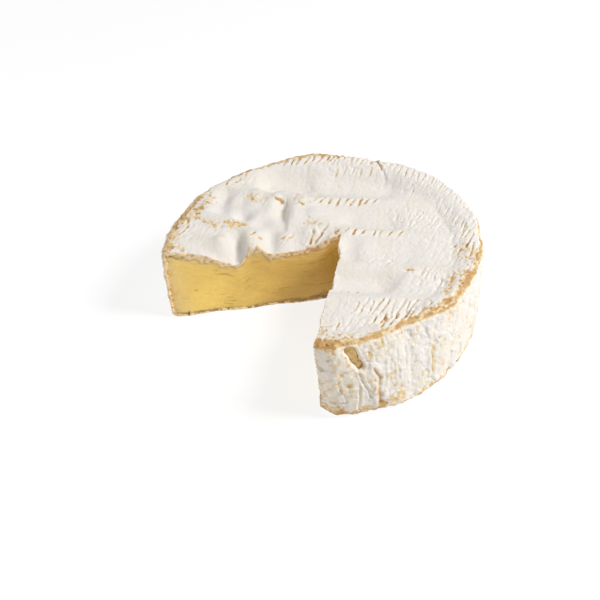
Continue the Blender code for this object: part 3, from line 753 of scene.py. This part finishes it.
def line_rows(start, end, normal, step):
    """Rows along a straight side of the section."""
    start, end = np.array(start), np.array(end)
    count = round(math.dist(start, end) / step)
    return [(*(start + share * (end - start)), *normal) for share in np.linspace(0.0, 1.0, count + 1)[1:]]


def tucked(row):
    """The row behind a border row, inside the cheese."""
    reach, up, normal_out, normal_up = row
    return (reach - TUCK * normal_out, up - TUCK * normal_up, normal_out, normal_up)


def top_rows():
    """The section of the top's rind, from the wedge's point to the seam."""
    rows = [(0.0, HEIGHT, 0.0, 1.0)]
    rows += line_rows((0.0, HEIGHT), (TOP_EDGE[0], HEIGHT), (0.0, 1.0), POINT_STEP)
    rows += edge_rows(TOP_EDGE, math.pi / 2, SEAM_UP)
    return rows + [tucked(rows[-1])]


def wall_rows():
    """The section of the wall's rind, downwards."""
    seam = edge_row(TOP_EDGE, SEAM_UP)
    rows = [tucked(seam), seam, *edge_rows(TOP_EDGE, SEAM_UP, 0.0)]
    rows += line_rows((RADIUS, TOP_EDGE[1]), (RADIUS, BASE_EDGE[1]), (1.0, 0.0), POINT_STEP)
    rows += edge_rows(BASE_EDGE, 0.0, SEAM_DOWN)
    return rows + [tucked(rows[-1])]


def base_rows():
    """The section of the base's rind, from the seam to the wedge's point."""
    seam = edge_row(BASE_EDGE, SEAM_DOWN)
    rows = [tucked(seam), seam, *edge_rows(BASE_EDGE, SEAM_DOWN, -math.pi / 2)]
    return rows + line_rows((BASE_EDGE[0], 0.0), (0.0, 0.0), (0.0, -1.0), BASE_STEP)


def into_cheese(share, angle, reach):
    """The level direction from a cut face into the cheese, as x and y. At the wedge's point it halves the
    wedge."""
    turn = np.radians(angle)
    side = np.where(share < 0.5, 1.0, -1.0)
    halving = math.radians(0.5 * (KEPT_FROM_TOP + KEPT_TO_TOP))
    at_point = (reach < 0.5 * POINT_STEP)[..., None]
    straight = np.stack([-np.sin(turn) * side, np.cos(turn) * side], axis=-1)
    return np.where(at_point, [math.cos(halving), math.sin(halving)], straight)


def edge_lines(share, rows, thickness):
    """The cut edge of a rind, line by line: its points, how tan they are and how deep below the outside.
    The last line turns into the cheese. End rows behind a neighbouring rind stay inside altogether."""
    reach, up, normal_out, normal_up = np.array(rows).T
    places = np.stack([reach, up, np.full_like(up, EDGES_APART * share)], axis=1)
    level_part = fade(RADIUS - reach, 3.0, 7.0) * fade(normal_up, 0.9, 1.0)
    thick = thickness * (1 + TOP_EXTRA * level_part) * (1 + 0.6 * noise(places, 1.5, 97, 3))
    behind = np.zeros(len(rows), dtype=bool)
    behind[[0, -1]] = reach[[0, -1]] > 0
    lines = []
    for part, proud, tan in (*EDGE_LINES, (1.0, -TUCK, 0.8)):
        depth = part * thick
        points, angle = form(share, reach - depth * normal_out, up - depth * normal_up)
        bumps = noise(points, 0.9, 181, 2)
        stand_out = np.where(behind, -TUCK, proud + EDGE_BUMPS * bumps * (proud > 0))
        points[:, :2] -= stand_out[:, None] * into_cheese(np.full_like(reach, share), angle, reach)
        lines.append((points, unit(tan - 0.9 * bumps), depth))
    return lines


def ragged(points, share, reach, up, angle):
    """Moves the points next to the cut faces a little in or out, as a blade leaves them."""
    arc = KEPT_SPAN * reach
    places = np.stack([reach, up, np.where(share < 0.5, 0.0, RAGS_APART)], axis=1)
    rag = RAG_DEPTH * noise(places, 1.5, 101, 2) * unit(reach / APEX_FADE)
    near_cut = bell(np.minimum(share, 1 - share) * arc / RAG_FADE)
    rise = RAG_RISE * noise(places, 0.9, 167, 2) * fade(up, HEIGHT - 3.0, HEIGHT - 1.0)
    points[:, 2] += rise * near_cut * unit(reach / APEX_FADE)
    inwards = into_cheese(share, angle, reach)
    points[:, :2] += (rag * near_cut)[:, None] * inwards
    return points


def disc_place(share, length, beside):
    """The map place on a disc. length is the distance along the section from the wedge's point, and beside
    how far outside the cut."""
    turn = np.radians(cut_angle(share, 1.0))
    side = np.where(np.asarray(share) < 0.5, -1.0, 1.0)
    across = length * np.cos(turn) - beside * side * np.sin(turn)
    along = length * np.sin(turn) + beside * side * np.cos(turn)
    return np.stack([across + MAP_DISC, along + MAP_DISC], axis=-1)


def strip_place(share, length, beside):
    """The map place on a straight strip that unrolls the wall."""
    side = np.where(np.asarray(share) < 0.5, -1.0, 1.0)
    across = share * KEPT_SPAN * RADIUS + beside * side + MAP_MARGIN
    return np.stack([across, np.broadcast_to(length, across.shape)], axis=-1)


def rind_shell(rows, thickness, deep, drop, map_place):
    """One piece of rind from the rows of its section, closed inside the cheese at the point deep."""
    section = np.array(rows)
    reach = section[:, 0]
    lengths = np.append(0.0, np.cumsum(np.hypot(*np.diff(section[:, :2], axis=0).T)))
    if reach[-1] == 0.0:
        lengths = lengths[-1] - lengths
    sizes = [steps_at(r) + 1 if r > 0 else 1 for r in reach]
    share = np.concatenate([np.linspace(0, 1, size) if size > 1 else [0.0] for size in sizes])
    plain = np.repeat(section, sizes, axis=0)
    points, worn, angle, gouged = skin(share, *plain.T)
    points = ragged(points, share, plain[:, 0], plain[:, 1], angle)
    stain = np.maximum(stain_of(points), GOUGE_VALUE * gouged)
    places = map_place(share, np.repeat(lengths, sizes), np.zeros_like(share))

    shell = Shell()
    numbers = shell.add(points, np.stack([worn, stain, np.zeros_like(worn)], axis=1), places)
    main_rings = np.split(numbers, np.cumsum(sizes)[:-1])
    edges = []
    for cut in (0.0, 1.0):
        lines = []
        for line, tan, depth in edge_lines(cut, rows, thickness):
            values = np.stack([tan, np.zeros_like(tan), np.ones_like(tan)], axis=1)
            lines.append(shell.add(line, values, map_place(np.full_like(reach, cut), lengths, depth)))
        edges.append(np.stack(lines, axis=1))
    for row in np.flatnonzero(reach == 0.0):
        edges[1][row] = edges[0][row]
    start_rings = [np.append(edge[::-1], ring[0]) for edge, ring in zip(edges[0], main_rings)]
    end_rings = [np.append(ring[-1], edge) for edge, ring in zip(edges[1], main_rings)]
    for rings in (main_rings, start_rings, end_rings):
        shell.join(rings)
    shell.close(border(start_rings, main_rings, end_rings), deep, drop)
    return shell


def border(start_rings, main_rings, end_rings):
    """The point numbers along the open border of a piece of rind."""

    def whole_ring(row):
        if len(main_rings[row]) == 1:
            return start_rings[row][:1]
        return np.concatenate([start_rings[row][:-1], main_rings[row], end_rings[row][1:]])

    back = [ring[-1] for ring in end_rings[-2:0:-1]]
    forth = [ring[0] for ring in start_rings[1:-1]]
    return np.concatenate([whole_ring(-1), back, whole_ring(0)[::-1], forth]).astype(int)


def stain_of(points):
    """The faint yellow stains of the top and the wall."""
    return fade(noise(points, 7.0, 103, 3), 0.15, 0.6)


# ---- the paste

PASTE_INSET = 0.45  # how far the paste's border lies behind the outside of the rind
PASTE_STEP = 0.28
PASTE_BACK = 3.0  # how thick the sheet is
PASTE_BACK_SHARE = 0.35  # how high its back is, as a share of its front


def paste_shell(deep):
    """The paste of both cut faces, one sheet that bends round the wedge's point and is closed behind."""
    reach_steps = round((RADIUS - PASTE_INSET) / PASTE_STEP)
    up_steps = round((HEIGHT - 2 * PASTE_INSET) / PASTE_STEP)
    signed = np.linspace(-1.0, 1.0, 2 * reach_steps + 1) * (RADIUS - PASTE_INSET)
    up = np.linspace(HEIGHT - PASTE_INSET, PASTE_INSET, up_steps + 1)
    up, signed = np.meshgrid(up, signed, indexing="ij")
    up, signed = up.ravel(), signed.ravel()
    share = np.where(signed < 0, 1.0, 0.0)
    reach = np.abs(signed)
    points, angle = form(share, reach, up)
    level = up / HEIGHT
    flat = sheet(signed, up)

    crack = noise(sheet(signed / 3.2, up / 0.5), 1.0, 107, 2)
    crack = fade(crack, 0.45, 0.7) * fade(noise(flat, 6.0, 109), -0.2, 0.3)
    drag = noise(sheet(signed / 6.0, up / 0.7), 1.0, 113, 2)
    crumbly = bell(reach / 13.0) * fade(level, 0.45, 0.85)
    crumbly = np.maximum(crumbly, 0.8 * fade(level, 0.7, 0.95))
    grain = noise(flat, 1.2, 127, 2)
    below_rind = (HEIGHT - up) + 0.6 * noise(flat, 1.7, 131, 2)
    beside_rind = np.minimum(below_rind, RADIUS - reach)
    crusty = bell(beside_rind / 2.2)
    scallops = noise(flat, 1.0, 173, 2)
    low = up + 1.1 * noise(flat, 1.3, 137, 3) - 1.6 * bell(reach / 16.0)
    brown = 1 - fade(low, 1.0, 2.2)
    relief = 0.07 * drag + 0.07 * grain - 0.2 * crack + 0.25 * crumbly * grain
    relief = relief + (0.2 * scallops - 0.4) * crusty + (0.2 + 0.5 * scallops) * brown
    relief *= fade(HEIGHT - up, 0.8, 1.6)
    inwards = into_cheese(share, angle, reach)
    points[:, :2] -= relief[:, None] * inwards

    # Painted light and shade: the paste is a darker gold towards the wedge's point and low down, a lighter
    # yellow far out, and darker gold in its cracks.
    shaded_gold = 0.74 * bell(reach / 36.0) + 0.8 * (1 - level) * bell(reach / 20.0)
    shaded_gold = shaded_gold + 0.05 * drag + 0.1 * noise(flat, 4.0, 229, 2)
    shaded_gold -= 0.35 * level * bell(reach / 12.0)
    creamy = 0.85 * bell(beside_rind / (5.0 + 1.6 * noise(flat, 3.0, 227, 2)))
    brown = np.maximum(brown, 0.3 * crusty * fade(-scallops, 0.0, 0.4))
    values = np.stack([unit(shaded_gold + 0.35 * crack), unit(creamy), brown], axis=1)

    shell = Shell()
    places = np.stack([signed + RADIUS, up], axis=1)
    numbers = shell.add(points, values, places).reshape(up_steps + 1, 2 * reach_steps + 1)
    shell.join(list(numbers[:, ::-1]))
    around = np.concatenate([numbers[0], numbers[1:, -1], numbers[-1, -2::-1], numbers[-2:0:-1, 0]])
    straight_in = np.append(inwards[around], np.zeros((len(around), 1)), axis=1)
    behind_points = points[around] + PASTE_BACK * straight_in
    behind_points[:, 2] = deep[2] + PASTE_BACK_SHARE * (behind_points[:, 2] - deep[2])
    behind = shell.add(behind_points, values[around])
    shell.join([np.append(around, around[0]), np.append(behind, behind[0])])
    shell.close(behind, deep, 0.0)
    return shell


# ---- materials


def node(tree, kind, inputs, **settings):
    """A shader node with its settings and inputs: numbers, colours or other nodes' sockets."""
    made = tree.nodes.new(kind)
    for name, value in settings.items():
        setattr(made, name, value)
    for name, value in inputs.items():
        if isinstance(value, bpy.types.NodeSocket):
            tree.links.new(value, made.inputs[name])
        else:
            made.inputs[name].default_value = value
    return made


def linear(red, green, blue):
    """A colour given as the eye sees it, from 0 to 255, as the shader takes it."""
    shares = [c / 255 for c in (red, green, blue)]
    return (*[s / 12.92 if s <= 0.04045 else ((s + 0.055) / 1.055) ** 2.4 for s in shares], 1.0)


def mixed(tree, factor, first, second):
    """The colour between first and second."""
    return node(tree, "ShaderNodeMix", {0: factor, 6: first, 7: second}, data_type="RGBA").outputs[2]


def scaled(tree, value, low, high):
    """A value moved smoothly from the range low to high onto 0 to 1."""
    inputs = {"Value": value, "From Min": low, "From Max": high}
    return node(tree, "ShaderNodeMapRange", inputs, interpolation_type="SMOOTHSTEP").outputs["Result"]


def arithmetic(tree, operation, first, second):
    """Two values added, subtracted or multiplied."""
    return node(tree, "ShaderNodeMath", {0: first, 1: second}, operation=operation).outputs[0]


def grain(tree, per_metre):
    """Noise from 0 to 1 with this many lumps in a metre."""
    place = node(tree, "ShaderNodeTexCoord", {}).outputs["Object"]
    inputs = {"Vector": place, "Scale": per_metre, "Detail": 3.0, "Roughness": 0.6}
    return node(tree, "ShaderNodeTexNoise", inputs).outputs["Fac"]


def attribute(tree, name):
    """One of the values that the points carry."""
    return node(tree, "ShaderNodeAttribute", {}, attribute_name=name).outputs["Fac"]


def grained(tree, value, per_metre, amount):
    """A value made a little uneven by fine noise."""
    uneven = arithmetic(tree, "SUBTRACT", grain(tree, per_metre), 0.5)
    return arithmetic(tree, "ADD", value, arithmetic(tree, "MULTIPLY", uneven, amount))


def new_material(name, constants):
    """A material, its node tree and its shader, which gets these constants."""
    material = bpy.data.materials.new(name)
    material.use_nodes = True
    shader = material.node_tree.nodes["Principled BSDF"]
    for label, value in constants.items():
        shader.inputs[label].default_value = value
    return material, material.node_tree, shader


def finish_shader(tree, shader, colour, height, strength, distance):
    """Links the colour to the shader, and a fine bump of this height."""
    tree.links.new(colour, shader.inputs["Base Color"])
    bump = node(tree, "ShaderNodeBump", {"Height": height, "Strength": strength, "Distance": distance})
    tree.links.new(bump.outputs["Normal"], shader.inputs["Normal"])


WHITE = linear(235, 230, 224)
WARM_WHITE = linear(234, 228, 219)
STAIN = linear(236, 222, 186)
TAN_LIGHT = linear(236, 210, 160)
TAN_DEEP = linear(194, 150, 94)
EDGE_CREAM = linear(240, 215, 172)
EDGE_TAN = linear(206, 164, 114)
GOUGE_BROWN = linear(168, 126, 72)
# The bare yellow paste in the gouge's middle, painted brighter as a highlight.
GOUGE_YELLOW_HIGHLIGHT = linear(250, 216, 148)


def rind_material():
    """A white velvety mould, worn through to tan where the values say so."""
    constants = {"Roughness": 0.85, "Sheen Weight": 0.15, "Specular IOR Level": 0.3}
    material, tree, shader = new_material("white_rind", constants)
    worn = grained(tree, attribute(tree, "first"), 900.0, 0.5)
    stain = attribute(tree, "second")
    white = mixed(tree, scaled(tree, grain(tree, 160.0), 0.35, 0.7), WHITE, WARM_WHITE)
    white = mixed(tree, arithmetic(tree, "MULTIPLY", stain, 0.2), white, STAIN)
    patchy = arithmetic(tree, "ADD", grain(tree, 500.0), grain(tree, 180.0))
    paleness = arithmetic(tree, "SUBTRACT", patchy, worn)
    tan = mixed(tree, scaled(tree, paleness, -0.15, 0.65), TAN_DEEP, TAN_LIGHT)
    colour = mixed(tree, scaled(tree, worn, 0.15, 0.85), white, tan)
    # the gouge: brown at its edges, its bare middle yellow paste painted bright as a highlight
    gouge = mixed(tree, scaled(tree, stain, 2.2, 3.1), GOUGE_BROWN, GOUGE_YELLOW_HIGHLIGHT)
    colour = mixed(tree, scaled(tree, stain, 1.2, 2.0), colour, gouge)
    edge = mixed(tree, scaled(tree, worn, 0.2, 0.9), EDGE_CREAM, EDGE_TAN)
    colour = mixed(tree, attribute(tree, "third"), colour, edge)
    height = arithmetic(tree, "ADD", grain(tree, 2200.0), grain(tree, 800.0))
    finish_shader(tree, shader, colour, height, 0.4, 0.0004)
    return material


# The paste's painted-lit yellow far out, and its painted-shade gold near the wedge's point.
PASTE_LIT_YELLOW = linear(255, 216, 112)
PASTE_SHADED_GOLD = linear(206, 166, 76)
PASTE_CREAM = linear(244, 210, 142)
BASE_BROWN = linear(166, 130, 78)


def paste_material():
    """The supple yellow paste, creamier under the rind and browner beside the base, with painted shade:
    darker gold near the wedge's point, low down and in the cracks.
    """
    constants = {"Roughness": 0.5, "Subsurface Weight": 0.3, "Subsurface Scale": 0.002}
    constants["Subsurface Radius"] = (1.0, 0.6, 0.25)
    material, tree, shader = new_material("yellow_paste", constants)
    shaded_gold = grained(tree, attribute(tree, "first"), 700.0, 0.3)
    # painted light and shade: lit yellow far out, shaded gold near the wedge's point and in the cracks
    colour = mixed(tree, scaled(tree, shaded_gold, 0.0, 1.0), PASTE_LIT_YELLOW, PASTE_SHADED_GOLD)
    colour = mixed(tree, attribute(tree, "second"), colour, PASTE_CREAM)
    colour = mixed(tree, attribute(tree, "third"), colour, BASE_BROWN)
    finish_shader(tree, shader, colour, grain(tree, 1300.0), 0.25, 0.0002)
    return material


# ---- putting it together

DEEP = (20.0, 20.0)  # from here every part of the outside can be seen, which is what a fan needs
PASTE_DEEP = 16.0  # how high that point is in the paste

MAP_DISC = 59.0  # half the width of the flat map of the top or the base
MAP_MARGIN = 2.0
MAP_GAP = 1.5
DISC_MAP = (1, 2 * MAP_DISC, 2 * MAP_DISC)  # rows of a flat map: how many, how long, how high
WALL_MAP = (3, KEPT_SPAN * RADIUS / 3 + MAP_MARGIN, 37.0)
PASTE_MAP = (2, RADIUS, HEIGHT + 1.0)
HIDDEN_SPOT = ((0.996, 0.996), (0.999, 0.996), (0.996, 0.999))  # a free corner of every map

# Each rind: its name, the rows of its section, its thickness, the height of the deep point that it closes
# at, how far its border goes down, and its map.
RINDS = (
    ("rind_top", top_rows, 1.7, 12.0, 3.0, disc_place, DISC_MAP),
    ("rind_wall", wall_rows, 1.1, 12.0, 0.0, strip_place, WALL_MAP),
    ("rind_base", base_rows, 1.4, 8.0, -2.0, disc_place, DISC_MAP),
)


def add_object(name, data):
    """A new object in the scene."""
    made = bpy.data.objects.new(name, data)
    bpy.context.scene.collection.objects.link(made)
    return made


def lay_map(mesh, places, triangles, row_count, row_length, row_height):
    """Gives the mesh its flat map. A map longer than row_length goes on in a second row, and so on."""
    corners = places[triangles]
    hidden = np.isnan(corners).any(axis=(1, 2))
    corners[hidden] = 0.0
    row = np.clip(corners[:, :, 0].mean(axis=1) // row_length, 0, row_count - 1)
    across = corners[:, :, 0] - (row * row_length)[:, None]
    along = corners[:, :, 1] + (row * row_height)[:, None]
    span = max(row_length, row_count * row_height) + 2 * MAP_GAP
    flat = (np.stack([across, along], axis=2) + MAP_GAP) / span
    flat[hidden] = HIDDEN_SPOT
    layer = mesh.uv_layers.new(name="OFBake")
    layer.data.foreach_set("uv", flat.reshape(-1).astype(np.float32))


def make_piece(name, shell, material, map_rows):
    """A mesh object from a closed shell, riding on the cheese's body in place of its solid."""
    points, values, places, triangles = shell.arrays()
    points = (points - [*BOX_MIDDLE, 0.0]) * MM
    mesh = bpy.data.meshes.new(name)
    mesh.from_pydata(points.tolist(), [], triangles.tolist())
    for column, label in enumerate(VALUE_NAMES):
        layer = mesh.attributes.new(label, "FLOAT", "POINT")
        layer.data.foreach_set("value", values[:, column].astype(np.float32))
    lay_map(mesh, places, triangles, *map_rows)
    mesh.shade_smooth()
    mesh.materials.append(material)
    piece = add_object(name, mesh)
    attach(piece, "root")
    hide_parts("camembert")
    return piece


def make_cheese():
    """The four pieces of the cheese."""
    rind = rind_material()
    for name, rows, thickness, deep_up, drop, map_place, map_rows in RINDS:
        shell = rind_shell(rows(), thickness, (*DEEP, deep_up), drop, map_place)
        make_piece(name, shell, rind, map_rows)
    make_piece("paste", paste_shell((*DEEP, PASTE_DEEP)), paste_material(), PASTE_MAP)


# ---- camera, light and floor

CAMERA_AIM = (-8.30, 6.68, 0.0)  # in millimetres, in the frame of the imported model
CAMERA_DISTANCE = 430.0
CAMERA_ELEVATION = math.radians(39.19)
CAMERA_ROLL = math.radians(-2.6)
PICTURE_WIDTH = 600  # in pixels
PIXELS_PER_MM = 2.809  # how many of these pixels a millimetre at the aim takes
SENSOR = 36.0

LIGHT_AIM = (0.0, 0.0, 0.02)  # in metres, like the lamps' places and sizes
LAMPS = (
    ("key", (0.408, -0.117, 0.492), 0.2, 3.5),
    ("fill", (-0.5, 0.07, 0.11), 0.4, 1.05),
)
WORLD_STRENGTH = 0.3
FLOOR_SIZE = 6.0
FLOOR_BELOW = 0.0002
FLOOR_FINISH = {
    "Base Color": (0.25, 0.25, 0.25, 1.0),
    "Roughness": 0.9,
    "Specular IOR Level": 0.0,
    "Emission Color": (1.0, 1.0, 1.0, 1.0),
    "Emission Strength": 0.8,
}


def make_camera():
    """The camera at the photograph's angle."""
    data = bpy.data.cameras.new("camera")
    data.sensor_width = SENSOR
    data.lens = SENSOR * PIXELS_PER_MM * CAMERA_DISTANCE / PICTURE_WIDTH
    turned = Matrix.Rotation(math.pi / 2 - CAMERA_ELEVATION, 4, "X") @ Matrix.Rotation(CAMERA_ROLL, 4, "Z")
    back = turned.to_3x3() @ Vector((0, 0, 1))
    place = (Vector(CAMERA_AIM) + back * CAMERA_DISTANCE) * MM
    camera = add_object("camera", data)
    camera.matrix_world = Matrix.Translation(place) @ turned
    bpy.context.scene.camera = camera


def area_light(name, place, size, power):
    """A square lamp that looks at the cheese."""
    data = bpy.data.lights.new(name, "AREA")
    data.size = size
    data.energy = power
    lamp = add_object(name, data)
    lamp.location = place
    lamp.rotation_euler = (Vector(LIGHT_AIM) - Vector(place)).to_track_quat("-Z", "Y").to_euler()


def make_studio():
    """The lamps, the pale surroundings and the floor."""
    world = bpy.data.worlds.new("studio")
    world.use_nodes = True
    world.node_tree.nodes["Background"].inputs["Color"].default_value = (1.0, 1.0, 1.0, 1.0)
    world.node_tree.nodes["Background"].inputs["Strength"].default_value = WORLD_STRENGTH
    bpy.context.scene.world = world
    for lamp in LAMPS:
        area_light(*lamp)

    mesh = bpy.data.meshes.new("floor")
    half = FLOOR_SIZE / 2
    square = ((-half, -half), (half, -half), (half, half), (-half, half))
    mesh.from_pydata([(x, y, -FLOOR_BELOW) for x, y in square], [], [(0, 1, 2, 3)])
    mesh.materials.append(new_material("pale_floor", FLOOR_FINISH)[0])
    floor = add_object("floor", mesh)
    bpy.context.scene.view_settings.view_transform = "Standard"


make_camera()
make_studio()
make_cheese()
